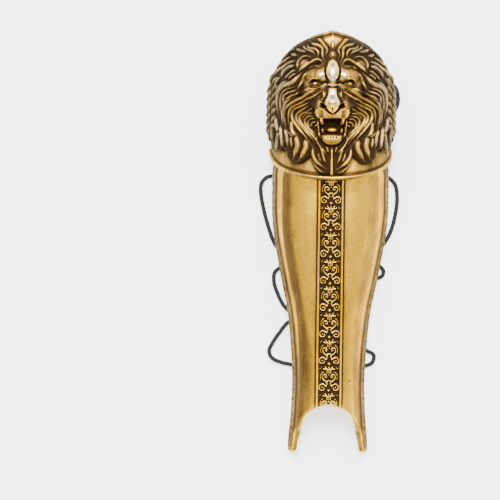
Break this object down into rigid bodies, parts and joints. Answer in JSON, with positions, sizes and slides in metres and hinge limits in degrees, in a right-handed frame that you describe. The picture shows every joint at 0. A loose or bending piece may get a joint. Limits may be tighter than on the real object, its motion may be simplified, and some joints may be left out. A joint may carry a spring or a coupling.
{
  "type": "lion-headed greave",
  "caption": "Cast greave at doll size: domed knee plate with a lion mask, tapering shin shell with a beaded scroll band, and elastic cords.",
  "frame": {"origin": "middle of the footprint, on the surface that the greave lies on", "axes": "+Y from the ankle to the knee, +Z out of the greave's front, +X across it"},
  "size_m": [0.0267, 0.0801, 0.0159],
  "materials": {
    "antique_brass": "antique brass plating on a zinc casting, polished crests over a dark patina",
    "black_elastic": "braided matte black"
  },
  "bodies": {
    "root": {"knee_cop": "antique_brass", "shin_plate": "antique_brass", "knee_cord": "black_elastic", "upper_calf_cord": "black_elastic", "lower_calf_cord": "black_elastic", "ankle_cord": "black_elastic"}
  },
  "joints": []
}
